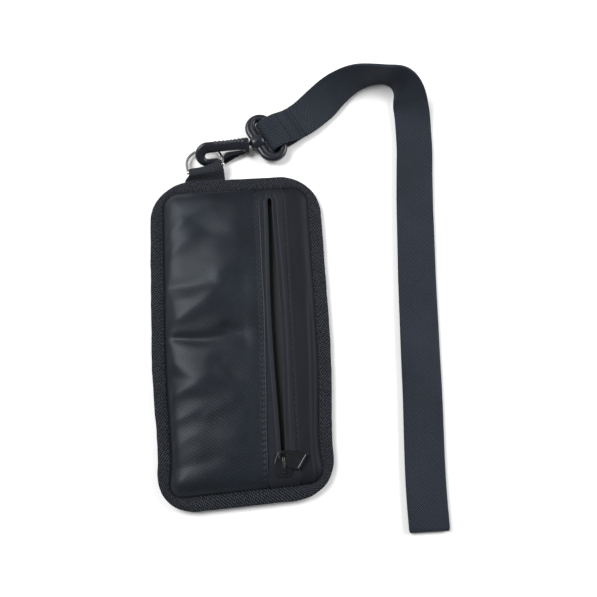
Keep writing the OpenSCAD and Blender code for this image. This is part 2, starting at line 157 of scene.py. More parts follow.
# Even points on the pouch's outline drawn in by a distance, with the outward angle at each
def outlineLoop(inset, count, r=None):
    r = pouch["corner"] - inset if r is None else r
    turn = np.arange(4)[:, None] * np.pi / 2 + np.linspace(0, np.pi / 2, 41)[None]
    ax, ay = halfW - inset - r, halfH - inset - r
    cx = np.array([ax, -ax, -ax, ax])[:, None]
    cy = np.array([ay, ay, -ay, -ay])[:, None]
    x = np.append((cx + r * np.cos(turn)).ravel(), ax + r)
    y = np.append((cy + r * np.sin(turn)).ravel(), ay)
    turn = np.append(turn.ravel(), 2 * np.pi)
    run = runAlong(np.stack([x, y], 1))
    s = np.linspace(0, run[-1], count, endpoint=False)
    return np.interp(s, run, x), np.interp(s, run, y), np.interp(s, run, turn), s, run[-1]


# Distance in from the pouch's edge, measured by the squarer outline of its panels:
# d = inset + r - distance past the corner centres of a rounded rectangle
def depthIn(x, y, inset=7.0, r=9.5):
    qx, qy = np.abs(x) - (halfW - inset - r), np.abs(y) - (halfH - inset - r)
    outside = np.hypot(np.maximum(qx, 0), np.maximum(qy, 0)) + np.minimum(np.maximum(qx, qy), 0)
    return inset + r - outside


# The sewn pouch isn't quite square: y grows by skew * x below the middle, and x narrows by the
# taper times a bell near the bottom
def skewed(pts):
    out = pts.copy()
    x, y = pts[..., 0], pts[..., 1]
    low = np.clip(-y / halfH, 0, 1)
    past = y + 66
    bell = np.exp(-(past / np.where(past > 0, 34.0, 14.0)) ** 2)
    out[..., 0] = x - pouch["taper"] * np.sign(x) * ease((np.abs(x) - 27) / 20) * bell
    out[..., 1] = y + pouch["skew"] * x * low * low * (3 - 2 * low)
    return out


# Smooth step from 0 to 1
def ease(t):
    t = np.clip(t, 0, 1)
    return t * t * (3 - 2 * t)


# Smooth seeded noise: a sum of sine waves of random direction and phase about one wavelength
def softNoise(x, y, wave, seed, waves=9):
    g = np.random.default_rng(seed)
    total = np.zeros_like(x)
    for a, p, k in zip(g.uniform(0, np.pi, waves), g.uniform(0, 6.28, waves), g.uniform(0.7, 1.5, waves)):
        total += np.sin((x * np.cos(a) + y * np.sin(a)) * 2 * np.pi * k / wave + p)
    return total / math.sqrt(waves)


# A smooth curve through points: Catmull-Rom, q = 0.5 (2b + (c-a)t + (2a-5b+4c-d)t2 + (3b-a-3c+d)t3)
def smoothCurve(points, each):
    p = np.asarray(points, float)
    p = np.concatenate([2 * p[:1] - p[1:2], p, 2 * p[-1:] - p[-2:-1]])
    t = np.linspace(0, 1, each, endpoint=False)[None, :, None]
    a, b, c, d = (p[i:len(p) - 3 + i, None] for i in range(4))
    q = 0.5 * (2 * b + (c - a) * t + (2 * a - 5 * b + 4 * c - d) * t ** 2
               + (3 * b - a - 3 * c + d) * t ** 3)
    return np.concatenate([q.reshape(-1, p.shape[1]), p[-2:-1]])


# The same curve with its points set evenly along it
def evenCurve(points, step):
    q = smoothCurve(points, 40)
    run = runAlong(q[:, :3])
    s = np.linspace(0, run[-1], max(2, int(round(run[-1] / step)) + 1))
    return np.stack([np.interp(s, run, q[:, i]) for i in range(q.shape[1])], 1), s


# Many small threads as one mesh: a capsule of 6 sides on each centre, along its own direction
def stitchPiece(name, centres, along, upward, length, radius):
    turn = np.linspace(0, 2 * np.pi, 6, endpoint=False)[None, None, :, None]
    ends = np.array([-0.5, -0.42, -0.2, 0.2, 0.42, 0.5])[None, :, None, None]
    fat = np.array([0.25, 0.8, 1.0, 1.0, 0.8, 0.25])[None, :, None, None]
    centre, ahead, up, side = (v[:, None, None] for v in (centres, along, upward, np.cross(along, upward)))
    pts = centre + ahead * ends * length + radius * fat * (np.cos(turn) * side + np.sin(turn) * up)
    count, rows, cols = pts.shape[:3]
    quads = np.stack([a * cols + b % cols for a, b in quadCorners(rows - 1, cols)], -1).reshape(-1, 4)
    caps = np.array([[5, 4, 3, 2], [5, 2, 1, 0]])
    caps = np.concatenate([caps, (rows - 1) * cols + caps[:, ::-1]])
    firsts = (np.arange(count) * rows * cols)[:, None, None]
    faces = (np.concatenate([quads, caps])[None] + firsts).reshape(-1, 4)
    return meshPiece(name, pts.reshape(-1, 3) * mm, faces.tolist())


# Axes turned about X, then Y, then Z by degrees, as the columns of a matrix
def turnedAxes(aboutX, aboutY, aboutZ):
    x, y, z = (Matrix.Rotation(math.radians(a), 3, axis) for a, axis in
               ((aboutX, "X"), (aboutY, "Y"), (aboutZ, "Z")))
    return np.array(z @ y @ x)


# A soft-cornered oval of unit size: (cos, sin) times (|cos|^k + |sin|^k)^(-1/k), and its cosines
def softOval(count, power):
    turn = np.linspace(0, 2 * np.pi, count, endpoint=False)
    cosine, sine = np.cos(turn), np.sin(turn)
    fat = (np.abs(cosine) ** power + np.abs(sine) ** power) ** (-1 / power)
    return cosine * fat, sine * fat, cosine


cameraSet = {"place": (25.344, -84.311, 379.056), "lens": 42.2, "turn": (15.2, -0.2, -3.5)}
camera = bpy.data.objects.new("camera", bpy.data.cameras.new("camera"))
bpy.context.collection.objects.link(camera)
camera.data.lens = cameraSet["lens"]
camera.data.sensor_width = 36
camera.data.clip_start = 0.01
tiltX, rollY, yawZ = (math.radians(a) for a in cameraSet["turn"])
camera.matrix_world = (Matrix.Translation([c * mm for c in cameraSet["place"]])
                       @ Matrix.Rotation(yawZ, 4, "Z") @ Matrix.Rotation(tiltX, 4, "X")
                       @ Matrix.Rotation(rollY, 4, "Y"))
bpy.context.scene.camera = camera
bpy.context.scene.view_settings.view_transform = "Standard"


materials = {}


# A new material's node tree and Principled shader; plain numbers go onto the shader's sockets
def newMaterial(name, **settings):
    mat = bpy.data.materials.new(name)
    mat.use_nodes = True
    shader = mat.node_tree.nodes["Principled BSDF"]
    for key, value in settings.items():
        shader.inputs[key].default_value = value
    materials[name] = mat
    return mat.node_tree, shader


# One Math node: its operation on two inputs, each a socket or a number
def mathNode(tree, kind, a, b=0.0, clamp=False):
    node = tree.nodes.new("ShaderNodeMath")
    node.operation = kind
    node.use_clamp = clamp
    for i, v in enumerate((a, b)):
        if isinstance(v, (int, float)):
            node.inputs[i].default_value = v
        else:
            tree.links.new(v, node.inputs[i])
    return node.outputs[0]


# Coordinates in millimetres, from the piece's own UV map or from its place in the pouch
def threadCoords(tree, useUv, turn=0.0):
    coords = tree.nodes.new("ShaderNodeTexCoord")
    mapping = tree.nodes.new("ShaderNodeMapping")
    scale = 1.0 if useUv else 1000.0
    mapping.inputs["Scale"].default_value = (scale, scale, scale)
    mapping.inputs["Rotation"].default_value = (0, 0, turn)
    tree.links.new(coords.outputs["UV" if useUv else "Object"], mapping.inputs["Vector"])
    return mapping.outputs["Vector"]


# A noise on coordinates in millimetres: scale = 1 / its wavelength
def noiseOf(tree, vector, scale, detail, distortion=0.0):
    noise = tree.nodes.new("ShaderNodeTexNoise")
    noise.inputs["Scale"].default_value = scale
    noise.inputs["Detail"].default_value = detail
    noise.inputs["Distortion"].default_value = distortion
    tree.links.new(vector, noise.inputs["Vector"])
    return noise.outputs["Fac"]


# A relief of a depth in millimetres on the shader's normal
def reliefOn(tree, shader, height, depth):
    bump = tree.nodes.new("ShaderNodeBump")
    bump.inputs["Distance"].default_value = depth * mm
    bump.inputs["Strength"].default_value = 1.0
    tree.links.new(height, bump.inputs["Height"])
    tree.links.new(bump.outputs["Normal"], shader.inputs["Normal"])


# The shader's colour runs from one tone to another as a value crosses its span
def colourOn(tree, shader, value, span, tones):
    ramp = tree.nodes.new("ShaderNodeValToRGB")
    for stop, at, tone in zip(ramp.color_ramp.elements, span, tones):
        stop.position = at
        stop.color = (*tone, 1)
    tree.links.new(value, ramp.inputs["Fac"])
    tree.links.new(ramp.outputs["Color"], shader.inputs["Base Color"])


# The shader's roughness runs from low to high with a value
def roughnessOn(tree, shader, value, rough):
    spread = tree.nodes.new("ShaderNodeMapRange")
    spread.inputs["To Min"].default_value = rough[0]
    spread.inputs["To Max"].default_value = rough[1]
    tree.links.new(value, spread.inputs["Value"])
    tree.links.new(spread.outputs["Result"], shader.inputs["Roughness"])


# A woven cloth: height = threads across x threads along, stepped by the twill's diagonal
def wovenCloth(name, dark, light, pitch, useUv=False, turn=0.0, depth=0.12, rough=(0.5, 0.7),
               twill=1.0, fleck=0.35, patch=14.0, span=(0.1, 0.85), dash=0.45, broadTone=0.5, **settings):
    tree, shader = newMaterial(name, **settings)

    def times(a, b):
        return mathNode(tree, "MULTIPLY", a, b)

    def plus(a, b, clamp=False):
        return mathNode(tree, "ADD", a, b, clamp)

    vector = threadCoords(tree, useUv, turn)
    split = tree.nodes.new("ShaderNodeSeparateXYZ")
    tree.links.new(vector, split.inputs[0])
    x, y = split.outputs["X"], split.outputs["Y"]
    wave = 2 * math.pi / pitch
    rib = mathNode(tree, "SINE", plus(times(x, wave), times(y, wave * twill)))
    thread = mathNode(tree, "SINE", times(y, wave * 1.5))
    weft = mathNode(tree, "SINE", times(x, wave * 0.5))
    weave = plus(times(rib, 1 - dash), times(times(thread, weft), dash))
    fine = noiseOf(tree, vector, 1.6 / pitch, 3)
    broad = noiseOf(tree, vector, 1.0 / patch, 4)
    height = plus(times(weave, 0.5), times(fine, fleck * 1.5))
    tone = plus(times(height, 0.45), times(broad, broadTone), clamp=True)
    reliefOn(tree, shader, height, depth)
    colourOn(tree, shader, tone, span, (dark, light))
    roughnessOn(tree, shader, broad, rough)


# A smooth hard finish: fine grain in its relief, and scuffs in its roughness and colour
def hardFinish(name, colour, worn, rough, grain=0.02, grainSize=0.35, **settings):
    tree, shader = newMaterial(name, **settings)
    vector = threadCoords(tree, False)
    scuff = noiseOf(tree, vector, 0.45, 6, 1.2)
    reliefOn(tree, shader, noiseOf(tree, vector, 1 / grainSize, 4), grain)
    colourOn(tree, shader, scuff, (0.45, 0.8), (colour, worn))
    roughnessOn(tree, shader, scuff, rough)


wovenCloth("panelNylon", (0.003, 0.004, 0.0055), (0.02, 0.0265, 0.037), 1.5, twill=-0.8, depth=0.07,
           rough=(0.37, 0.47), fleck=0.35, patch=26, span=(0.15, 0.62), dash=0.6, broadTone=0.25,
           **{"Sheen Weight": 0.05, "Sheen Roughness": 0.4, "Specular IOR Level": 0.25,
              "Specular Tint": (0.86, 0.93, 1.0, 1.0)})
wovenCloth("sideCloth", (0.005, 0.0058, 0.009), (0.012, 0.013, 0.019), 0.7, twill=0.7, depth=0.02,
           rough=(0.5, 0.62), fleck=0.25, patch=20, **{"Specular IOR Level": 0.14})
wovenCloth("zipTape", (0.0055, 0.0064, 0.0092), (0.0135, 0.015, 0.0202), 0.6, depth=0.015,
           rough=(0.45, 0.57), fleck=0.25, patch=12,
           **{"Specular IOR Level": 0.2, "Specular Tint": (0.88, 0.94, 1.0, 1.0)})
dullWebbing = {"Sheen Weight": 0.03, "Specular IOR Level": 0.12}
wovenCloth("bindingTape", (0.001, 0.0015, 0.0025), (0.068, 0.077, 0.1), 1.65, useUv=True, twill=0.85,
           depth=0.25, rough=(0.6, 0.8), patch=9, span=(0.22, 0.66), dash=0.55, broadTone=0.1, fleck=0.7,
           **dullWebbing)
wovenCloth("tabWebbing", (0.003, 0.004, 0.006), (0.075, 0.082, 0.102), 1.35, useUv=True, twill=-1.0,
           depth=0.25, rough=(0.6, 0.8), patch=9, span=(0.1, 0.5), dash=0.35, broadTone=0.1, **dullWebbing)
wovenCloth("strapWebbing", (0.004, 0.0065, 0.011), (0.07, 0.084, 0.118), 1.35, useUv=True, twill=-1.0,
           depth=0.22, rough=(0.55, 0.75), patch=45, span=(0.17, 0.64), dash=0.4, broadTone=0.2,
           **{"Sheen Weight": 0.04, "Specular IOR Level": 0.15})
wovenCloth("backCloth", (0.008, 0.009, 0.011), (0.02, 0.022, 0.026), 0.9, depth=0.05,
           rough=(0.6, 0.75), patch=20, **{"Specular IOR Level": 0.2})
wovenCloth("lining", (0.012, 0.013, 0.015), (0.022, 0.024, 0.027), 0.8, depth=0.03, rough=(0.6, 0.75))
wovenCloth("foam", (0.05, 0.053, 0.056), (0.11, 0.115, 0.12), 0.9, depth=0.06, rough=(0.8, 0.95),
           fleck=0.9)
wovenCloth("thread", (0.003, 0.003, 0.004), (0.02, 0.02, 0.025), 0.5, turn=0.6, depth=0.05,
           rough=(0.4, 0.6), patch=6, **{"Specular IOR Level": 0.3})
hardFinish("hookPlastic", (0.005, 0.0065, 0.012), (0.012, 0.014, 0.023), (0.26, 0.38),
           **{"Specular IOR Level": 0.42})
hardFinish("ringMetal", (0.8, 0.79, 0.77), (0.62, 0.6, 0.58), (0.08, 0.2), grain=0.004,
           **{"Metallic": 1.0})
hardFinish("sliderPaint", (0.0015, 0.002, 0.0035), (0.005, 0.006, 0.009), (0.2, 0.3),
           **{"Specular IOR Level": 0.45})
hardFinish("zipTeeth", (0.008, 0.008, 0.01), (0.02, 0.02, 0.024), (0.25, 0.45))


# Gives a piece its material in its one slot and its body, and hides the CAD nodes that it stands for
def dress(obj, material, body, nodes=()):
    obj.data.materials.clear()
    obj.data.materials.append(materials[material])
    if body:
        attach(obj, body)
    if nodes:
        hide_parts(*nodes)


print("camera and materials ready")

strap = {"width": 21.0, "layer": 1.22, "half": 1.3, "z": 1.7, "step": 0.9, "notch": 0.55}
eye = {"pivot": (14.3, 113.5, 4.6), "yaw": 28.0, "barR": 2.2, "farBar": 12.6, "foldBack": 3.9,
       "seam": 27.0, "seamDrop": -1.0, "blend": (15.5, 26.5), "loopR": 6.3, "loopHalf": 7.5}
eyeX = np.array([math.cos(math.radians(eye["yaw"])), math.sin(math.radians(eye["yaw"])), 0.0])
eyeY = np.array([-eyeX[1], eyeX[0], 0.0])
straightUp = np.array([0, 0, 1.0])
eyePivot = np.array(eye["pivot"])
seamAt = eyePivot[:2] + (eye["seam"] + 0.3) * eyeX[:2]
# x, y, how far the strap leans over in degrees, and its lift
strapRoute = np.array([
    (seamAt[0], seamAt[1], 0, 1.9), (42.8, 128.9, 2, 1.6), (47.6, 132.5, 7, 1),
    (53, 136.6, 18, 0.4), (58.5, 140.6, 32, 0), (64, 144.1, 48, -0.3),
    (70, 147.2, 62, -0.6), (76, 149.4, 75, -0.9), (82, 150.5, 86, -1),
    (88, 150.9, 93, -1), (93.5, 150.5, 95, -1), (98, 149, 88, -1), (101.5, 146.4, 73, -0.8),
    (104.2, 142.8, 54, -0.4), (106.2, 138, 34, 0), (107.4, 132.5, 17, 0), (108, 126, 6, 0),
    (107.9, 118, 0, 0), (107.2, 105, 0, 0), (105.6, 90, 0, 0), (103.9, 73, 0, 0),
    (102.6, 57, 0, 0), (101.4, 42, 0, 0), (100.2, 27, 0, 0), (99.2, 12, 0, 0),
    (98.2, -4, 0, 0), (97.2, -20, 0, 0), (96.3, -36, 0, 0), (95.2, -52, 0, 0),
    (94, -68, 0, 0), (93, -84, 0, 0), (92.5, -98, 0, 0), (92.4, -110, 0, 0)])


# The strap's middle line and its two section directions: across = left normal leaned up by the lean
def strapFrames():
    q, s = evenCurve(strapRoute, strap["step"])
    lean = np.radians(q[:, 2])
    d = unit(np.gradient(q[:, :2], axis=0))
    d[0] = eyeX[:2]
    across = np.stack([-d[:, 1] * np.cos(lean), d[:, 0] * np.cos(lean), np.sin(lean)], 1)
    ahead = np.stack([d[:, 0], d[:, 1], 0 * lean], 1)
    up = np.cross(ahead, across)
    mid = np.stack([q[:, 0], q[:, 1], strap["z"] + q[:, 3] + strap["width"] / 2 * np.sin(lean)], 1)
    return mid, across, up, s


# The doubled webbing: a closed section of two layers with a notch between, carried along the line
def makeStrap():
    mid, across, up, s = strapFrames()
    w, t = strap["width"] / 2, strap["half"]
    side = np.linspace(-1, 1, 23)
    crown = t * (1 - 0.06 * side ** 6)
    upperW = np.concatenate([side * (w - 0.25), [w, w, w - strap["notch"]]])
    upperZ = np.concatenate([crown, [t - 0.3, 0.3, 0.0]])
    lowerW = np.concatenate([[w, w], -side * (w - 0.25), [-w, -w]])
    lowerZ = np.concatenate([[-0.3, -t + 0.3], -crown, [-t + 0.3, -0.3]])
    backW, backZ = np.array([-w + strap["notch"], -w, -w]), np.array([0.0, 0.3, t - 0.3])
    secW = np.concatenate([upperW, lowerW, backW])
    secZ = np.concatenate([upperZ, lowerZ, backZ])
    isLower = np.concatenate([np.zeros(len(upperW)), np.ones(len(lowerW)), np.zeros(3)])
    # the lower layer shows a little on one side and then on the other
    shift = 0.55 * np.sin((s - 205) / 95) * ease(s / 40) * ease((s[-1] - s) / 6)
    ripple = 0.18 * np.sin(s / 23) + 0.1 * np.sin(s / 9 + 1)
    flat = ease((1 - np.abs(across[:, 2])) * 3)
    close = np.sqrt(np.clip(1 - (1 - np.clip((s[-1] - s) / t, 0, 1)) ** 2, 0.03, 1))
    wide = 1 - 0.05 * (1 - np.clip((s[-1] - s) / 2.2, 0, 1)) ** 2
    sideways = secW[None] * wide[:, None] + isLower[None] * shift[:, None]
    upward = secZ[None] * close[:, None]
    lift = (ripple * 0.4 * flat * ease(s / 30) * ease((s[-1] - s) / 25))[:, None]
    pts = mid[:, None] + across[:, None] * sideways[..., None] + up[:, None] * upward[..., None]
    pts[..., 2] += np.maximum(lift, 0)
    pts[..., 2] = np.maximum(pts[..., 2], 0.15)
    uv = np.stack(np.broadcast_arrays(girth(secW, secZ)[None], s[:, None]), -1)
    obj = gridPiece("strapWebbing", pts, uv, wrapU=True, caps=True)
    dress(obj, "strapWebbing", "hook", ["strap"])


makeStrap()


# Bakes the piece's placement into its mesh
def blendToHook(obj):
    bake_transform(obj)


# The sewn fold: webbing round the far bar, p along the eye's normal and z across it
def makeStrapEnd():
    r = eye["barR"] + 0.3 + 0.65
    near, far = eye["farBar"] - eye["foldBack"], eye["farBar"] + 1
    drop, seam = eye["seamDrop"], eye["seam"]
    angle = np.radians(np.linspace(75, 285, 15))
    top = [(seam + 0.1, drop + 0.66), (seam - 3.5, drop + 0.95), (seam - 7, drop + 2.1),
           (far + 1.5, r - 0.25)]
    arc = [(near + r * math.cos(a), r * math.sin(a)) for a in angle]
    low = [(far + 1.5, -r + 0.2), (seam - 7, drop - 1.5), (seam - 3.5, drop - 0.9),
           (seam + 0.1, drop - 0.66)]
    line, s = evenCurve(np.array(top + arc + low), 0.8)
    side = np.linspace(-strap["width"] / 2 + 0.35, strap["width"] / 2 - 0.35, 25)
    pinch = 1 - 0.03 * ease((far + 6 - line[:, 0]) / 8)
    surf = (eyePivot[None, None] + line[:, :1, None] * eyeX
            + (side[None, :] * pinch[:, None])[..., None] * eyeY + line[:, 1, None, None] * straightUp)
    uv = np.stack(np.broadcast_arrays(side[None, :] + 30, s[:, None]), -1)
    obj = clothPiece("strapFold", surf, strap["layer"], uv)
    dress(obj, "strapWebbing", None, ["strap_end"])
    blendToHook(obj)


makeStrapEnd()


# Two rows of thread across the sewn fold, on its upper face
def makeFoldStitches():
    rows = [(25.2, 0.55), (18.6, 2.55)]
    side = (np.arange(8) - 3.5) * 2.5
    centres = np.array([eyePivot + p * eyeX + w * eyeY + (0, 0, z) for p, z in rows for w in side])
    n = len(centres)
    obj = stitchPiece("foldStitches", centres, np.tile(eyeY, (n, 1)), np.tile(straightUp, (n, 1)), 1.9, 0.3)
    dress(obj, "thread", None, ["strap_end_stitching"])
    blendToHook(obj)


makeFoldStitches()

binding = {"count": 1500, "stitchPitch": 3.1, "stitchIn": 6.3, "stitchCorner": 10.2, "thick": 0.7,
           "rim": 1.6, "bendR": 1.1, "proud": 0.12}


# The tape round the edge: a closed C-shaped section (o in from the edge, z) along the outline
def makeBinding():
    e, w, t, rim, r = pouch["edge"], pouch["binding"], binding["thick"], binding["rim"], binding["bendR"]
    top = e + binding["proud"]
    bend = np.radians(np.linspace(0, 90, 6))
    under = [(-w, 0.0), (-w + 0.6, 0.0), (-5.0, 0.0), (-3.0, 0.0), (-rim, 0.0)]
    lowArc = [(r * math.sin(a) - r, r - r * math.cos(a)) for a in bend]
    highArc = [(r * math.cos(a) - r, e - r + r * math.sin(a)) for a in bend]
    over = [(o, top) for o in np.linspace(-rim, -w + 0.3, 16)]
    lip = [(-w, e - 0.05), (-w - 0.02, e - 0.35), (-w + 0.1, e - t)]
    inside = [(-4.0, e - t), (-1.4, e - t), (-t, e - 1.4), (-t, 1.4), (-1.4, t), (-4.0, t), (-w + 0.1, t)]
    o, z = np.array(under + lowArc + highArc + over + lip + inside).T
    x, y, turn, s, total = outlineLoop(0, binding["count"])
    pitch = total / round(total / binding["stitchPitch"])
    isTop = (z > e - 0.4).astype(float)
    groove = 0.32 * np.exp(-((o + binding["stitchIn"]) / 0.55) ** 2)[None]
    pull = 0.55 + 0.45 * np.cos(2 * np.pi * s / pitch)[:, None]
    swell = (1 + 0.25 * np.sin(s / 5.1) + 0.2 * np.sin(s / 2.3 + 1))[:, None]
    puff = 0.28 * np.exp(-((o + 3.6) / 2.2) ** 2)[None] * swell
    rough = 0.06 * softNoise(s[:, None] + 0 * o[None], o[None] + 0 * s[:, None], 7, 3)
    height = z[None] + isTop[None] * (puff - groove * pull + rough)
    waver = 0.16 * (softNoise(s, 0 * s, 17, 5) + 0.5 * softNoise(s, 0 * s, 5, 6))[:, None]
    inward = o[None] + waver * np.exp(-((o + 1) / 1.2) ** 2)[None] + 0.12 * pull * (np.abs(o + w) < 0.4)
    # the tape's inner edge turns the corners more squarely, so its width is found there by halving
    small, large = np.full(len(x), 2.0), np.full(len(x), 9.0)
    for _ in range(24):
        half = (small + large) / 2
        within = depthIn(x - half * np.cos(turn), y - half * np.sin(turn), w, 9.0) > w
        small, large = np.where(within, small, half), np.where(within, half, large)
    scale = ((small - rim) / (w - rim))[:, None]
    inward = np.where(inward < -rim, (inward + rim) * scale - rim, inward)
    cosine, sine = np.cos(turn)[:, None], np.sin(turn)[:, None]
    pts = np.stack([x[:, None] + inward * cosine, y[:, None] + inward * sine, height], -1)
    uv = np.stack(np.broadcast_arrays(girth(o, z)[None], np.append(s, total)[:, None]), -1)
    obj = gridPiece("edgeBinding", skewed(pts), uv, wrapU=True, wrapV=True)
    dress(obj, "bindingTape", "pouch", ["edge_binding"])
    # its stitches lie in the groove
    count = round(total / binding["stitchPitch"])
    x, y, turn = outlineLoop(binding["stitchIn"], count, binding["stitchCorner"])[:3]
    centres = skewed(np.stack([x, y, 0 * x + top], -1))
    along = np.stack([-np.sin(turn), np.cos(turn), 0 * turn], -1)
    stitches = stitchPiece("bindingStitches", centres, along, np.tile(straightUp, (count, 1)), 2.3, 0.27)
    dress(stitches, "thread", "pouch", ["binding_stitching"])


makeBinding()
print("binding ready")


# A closed slab of the pouch's outline: rings drawn in towards the middle, z0 below and z1 above
def slabPiece(name, inset, z0, z1, material, node, rings=14, count=360):
    x, y = outlineLoop(inset, count)[:2]
    scale = 1 - 0.985 * np.linspace(0, 1, rings)[:, None]
    half = (z1 - z0) / 2 * np.minimum(ease((np.arange(rings) + 0.6) / 1.6), 1)[:, None]
    low, high = (np.stack([x * scale, y * scale, (z0 + z1) / 2 + way * half + 0 * x * scale], -1)
                 for way in (-1, 1))
    obj = tubePiece(name, skewed(np.concatenate([low[::-1], high])))
    dress(obj, material, "pouch", [node])
    return obj


slabPiece("backCloth", 1.2, 0.12, 1.15, "backCloth", "back_panel")
padPiece = slabPiece("foamPad", 5.0, 1.27, 2.12, "foam", "padding")
slabPiece("pocketLining", 5.0, 2.2, 2.52, "lining", "pocket_lining")

panel = {"inset": 7.0, "corner": 9.5, "seamZ": 3.55, "thick": 0.7, "stitchIn": 2.5, "stitchPitch": 3.0,
         "roll": 0.9, "creaseUp": 1.45}
# creases, most of them fanning out from the left seam: x, y, direction, length, width, height
creases = [(-41, 27, 3, 30, 7, -0.75), (-40, -1.5, -3, 44, 5.0, -1.05), (-38, 6, 33, 42, 9, 0.95),
           (-41, 16, 16, 38, 8, 0.55), (-40, -12, -36, 48, 10, 0.85), (-41, -34, 26, 34, 6.5, 0.7),
           (-41, -47, 22, 28, 5, 0.4), (-40, 44, 42, 30, 7, 0.6), (-41, 56, 38, 26, 5, 0.4),
           (-41, -21, -14, 34, 6.5, -0.5), (-41, -60, 26, 26, 6, 0.4), (-16, -14, -38, 44, 9, -0.7),
           (-14, 30, 38, 34, 8, 0.45), (-10, 4, -24, 26, 7, -0.45), (-30, 70, -35, 50, 9, -0.5),
           (-34, 64, 30, 36, 7, 0.35), (-41, -70, 8, 34, 6, -0.45), (-22, -46, 30, 34, 8, 0.4)]


# Height added by the creases: a bell across each, fading along it from its start to its end
def creaseHeight(x, y):
    total = np.zeros_like(x)
    for cx, cy, angle, length, width, height in creases:
        c, s = math.cos(math.radians(angle)), math.sin(math.radians(angle))
        along = (x - cx) * c + (y - cy) * s
        off = -(x - cx) * s + (y - cy) * c + 0.06 * along * np.sin(along / 9)
        spread = width * (0.45 + 0.75 * np.clip(along / length, 0, 1.4))
        fade = ease(along / (0.22 * length) + 0.3) * ease((1.25 * length - along) / (0.7 * length))
        total += height * np.exp(-np.abs(off / spread) ** 1.7) * fade
    return total


# The stuffed front: seam height rising to the crown, less to the right where it meets the zip
def mainHeight(x, y):
    rise = 1 - np.exp(-np.maximum(depthIn(x, y) - panel["inset"], 0) / 3.6)
    arch = np.sin(np.pi * np.clip((pouch["foldX"] - x) / 58, 0, 1)) ** 0.8
    crown = pouch["zipZ"] + 0.35 + (pouch["crownZ"] - pouch["zipZ"]) * arch
    body = panel["seamZ"] + (crown - panel["seamZ"]) * rise
    free = rise * ease((pouch["foldX"] - 3.5 - x) / 9)
    swells = 0.36 * softNoise(x * 0.5 + y * 0.5, y * 0.8 - x * 0.5, 30, 21)
    ripples = 0.05 * softNoise(x * 0.6 + y * 0.6, y - x * 0.6, 12, 22)
    return body + free * (panel["creaseUp"] * creaseHeight(x, y) + swells + ripples)


# Where the main panel folds beside the zip: it draws away to the left towards the bottom
def foldLine(y):
    return pouch["foldX"] + 0.22 * np.sin(y / 31) + 0.1 * np.sin(y / 7.3) - 2.0 * ease((15 - y) / 95)


# How far the panels reach from the middle at a height: straight, then round the corner's circle
def panelReach(y):
    r = panel["corner"]
    over = np.clip(np.abs(y) - (halfH - panel["inset"] - r), 0, r)
    return halfW - panel["inset"] - r + np.sqrt(np.maximum(r * r - over * over, 0))


# How far a folded edge has turned down, from 1 at the edge to 0 a roll away: 1 - sqrt(1 - t^2)
def turnedDown(away, roll):
    edge = np.clip(1 - away / roll, 0, 1)
    return 1 - np.sqrt(np.clip(1 - edge ** 2, 0, 1))


# A front cloth from its surface, with the weave measured in millimetres on it
def frontPiece(name, x, y, z, thick, offset, material, node):
    y = y + 0 * x
    obj = clothPiece(name, skewed(np.stack([x, y, z], -1)), thick, np.stack([x, y], -1), offset)
    dress(obj, material, "pouch", [node])
    return obj


# Topstitches up the pouch, each tilted to the slope of its seam
def seamStitches(name, x, y, z, length, radius, node):
    along = unit(np.stack([0 * y, 1 + 0 * y, np.gradient(z, y)], -1))
    up = np.cross(np.tile((1.0, 0, 0), (len(y), 1)), along)
    stitches = stitchPiece(name, skewed(np.stack([x, y, z], -1)), along, up, length, radius)
    dress(stitches, "thread", "pouch", [node])


# The main panel: u runs from the left seam to the fold at the zip, v up the pouch
def makeMainPanel():
    low, pitch = halfH - panel["inset"], panel["stitchPitch"]
    y = np.linspace(-low, low, 240)[:, None]
    left, fold = -panelReach(y), foldLine(y)
    u = np.linspace(0, 1, 92)[None]
    u = u + 0.06 * np.sin(2 * np.pi * u) / (2 * np.pi)
    x = left + (fold - left) * u
    # the folded edge turns down onto the zip's tape, and the stitches pull a groove beside it
    z = mainHeight(x, y + 0 * x) - 0.75 * turnedDown(fold - x, panel["roll"])
    pull = 0.6 + 0.4 * np.cos(2 * np.pi * (y + low) / pitch)
    z -= 0.42 * np.exp(-((fold - x - panel["stitchIn"]) / 0.75) ** 2) * pull
    z += 0.16 * np.exp(-((fold - x - 1.2) / 0.8) ** 2) * (1 - pull)
    thick = panel["thick"]
    obj = frontPiece("mainPanel", x, y, z, thick, -thick / 2, "panelNylon", "main_panel")
    y = np.arange(-low + 3, low - 3, pitch) + pitch / 2
    x = foldLine(y) - panel["stitchIn"]
    seamStitches("mainStitches", x, y, mainHeight(x, y) - 0.22, 2.1, 0.28, "main_stitching")


makeMainPanel()
print("main panel ready")

sideFront = {"level": pouch["zipZ"] - 0.05, "roll": 0.8, "stitchIn": 1.5, "stitchPitch": 3.0}


# The flat front beside the zip: seam height rising to its level, lower towards the edge
def sideHeight(x, y):
    rise = 1 - np.exp(-np.maximum(depthIn(x, y) - panel["inset"], 0) / 2.6)
    return panel["seamZ"] + (sideFront["level"] - panel["seamZ"]) * rise


# Where the side panel begins beside the zip
def sideSeam(y):
    return pouch["sideX"] + 0.2 * np.sin(y / 37)


